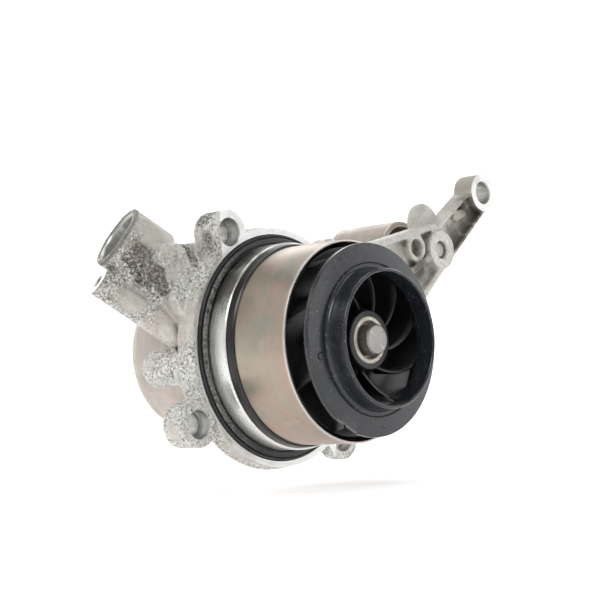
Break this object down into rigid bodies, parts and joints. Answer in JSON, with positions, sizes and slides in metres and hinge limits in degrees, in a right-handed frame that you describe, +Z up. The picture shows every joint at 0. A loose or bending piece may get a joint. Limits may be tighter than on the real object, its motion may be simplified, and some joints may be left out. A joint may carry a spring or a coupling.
{
  "type": "water pump",
  "caption": "Belt-driven engine coolant pump with flanged casting, closed impeller, sliding control sleeve, valve socket, pulley, and an arm with an idler roller.",
  "frame": {"origin": "on the shaft axis, in the plane of the flange's mating face", "axes": "+Y along the shaft from the impeller towards the pulley, +Z up as the pump is shown, +X towards the arm"},
  "size_m": [0.2279, 0.1171, 0.1283],
  "materials": {
    "cast": "as-cast, speckled with dark corrosion",
    "gasket": "worn matt",
    "guide_ring": "satin dark",
    "steel": "ground",
    "dark_steel": "blackened",
    "spring_steel": "drawn wire",
    "piston_plastic": "moulded",
    "rubber": "matt",
    "sleeve_steel": "smooth, tan tint",
    "impeller_plastic": "moulded, semi-gloss",
    "shroud_plastic": "moulded, semi-gloss",
    "insert_metal": "turned, dull",
    "shaft_steel": "ground",
    "cage_brass": "pressed",
    "carbon": "lapped carbon",
    "ceramic": "lapped ceramic",
    "pulley_steel": "smooth, tan tint",
    "idler_steel": "smooth, tan tint, small pits",
    "idler_seal": "dark red-brown",
    "bolt_steel": "dull zinc"
  },
  "bodies": {
    "casting": {"housing": "cast", "flange_gasket": "gasket", "guide_ring": "guide_ring", "spring_retainer": "steel", "retainer_clip": "dark_steel", "return_spring": "spring_steel", "pump_barrel": "steel", "plunger_spring": "spring_steel", "bearing_outer_race": "steel", "bearing_seals": "rubber", "seal_cup": "cage_brass", "seal_bellows": "rubber", "seal_spring": "spring_steel", "carbon_ring": "carbon", "idler_inner_race": "steel", "idler_spacer": "steel", "idler_bolt": "bolt_steel"},
    "rotor": {"shaft": "shaft_steel", "impeller": "impeller_plastic", "impeller_shroud": "shroud_plastic", "impeller_insert": "insert_metal", "seat_ring": "ceramic", "seat_cup": "rubber", "pulley": "pulley_steel"},
    "bearing_set": {"bearing_balls": "steel", "bearing_rollers": "steel", "bearing_cages": "cage_brass"},
    "sleeve": {"control_sleeve": "sleeve_steel", "ring_piston": "piston_plastic", "piston_seals": "rubber"},
    "plunger": {"pump_plunger": "steel"},
    "idler": {"idler_roller": "idler_steel", "idler_outer_race": "steel", "idler_seals": "idler_seal"},
    "idler_set": {"idler_balls": "steel", "idler_cage": "piston_plastic"}
  },
  "joints": [
    {"name": "shaft_spin", "type": "hinge", "parent": "casting", "child": "rotor", "pos_m": [0, 0, 0], "axis": [0, -1, 0], "continuous": true},
    {"name": "bearing_spin", "type": "hinge", "parent": "casting", "child": "bearing_set", "pos_m": [0, 0.017, 0], "axis": [0, -1, 0], "continuous": true},
    {"name": "sleeve_slide", "type": "slide", "parent": "casting", "child": "sleeve", "axis": [0, -1, 0], "range_m": [0, 0.012], "stiffness_N_per_m": 1500, "deforming": ["return_spring"]},
    {"name": "plunger_slide", "type": "slide", "parent": "casting", "child": "plunger", "axis": [0, -1, 0], "range_m": [0, 0.0012], "stiffness_N_per_m": 200, "deforming": ["plunger_spring"]},
    {"name": "idler_spin", "type": "hinge", "parent": "casting", "child": "idler", "pos_m": [0.1103, 0.04, 0.0422], "axis": [0, -1, 0], "continuous": true},
    {"name": "idler_bearing_spin", "type": "hinge", "parent": "casting", "child": "idler_set", "pos_m": [0.1103, 0.04, 0.0422], "axis": [0, -1, 0], "continuous": true}
  ],
  "couplings": [
    {"joint": "bearing_spin", "follows": "shaft_spin", "ratio": 0.3875},
    {"joint": "idler_bearing_spin", "follows": "idler_spin", "ratio": 0.588}
  ]
}
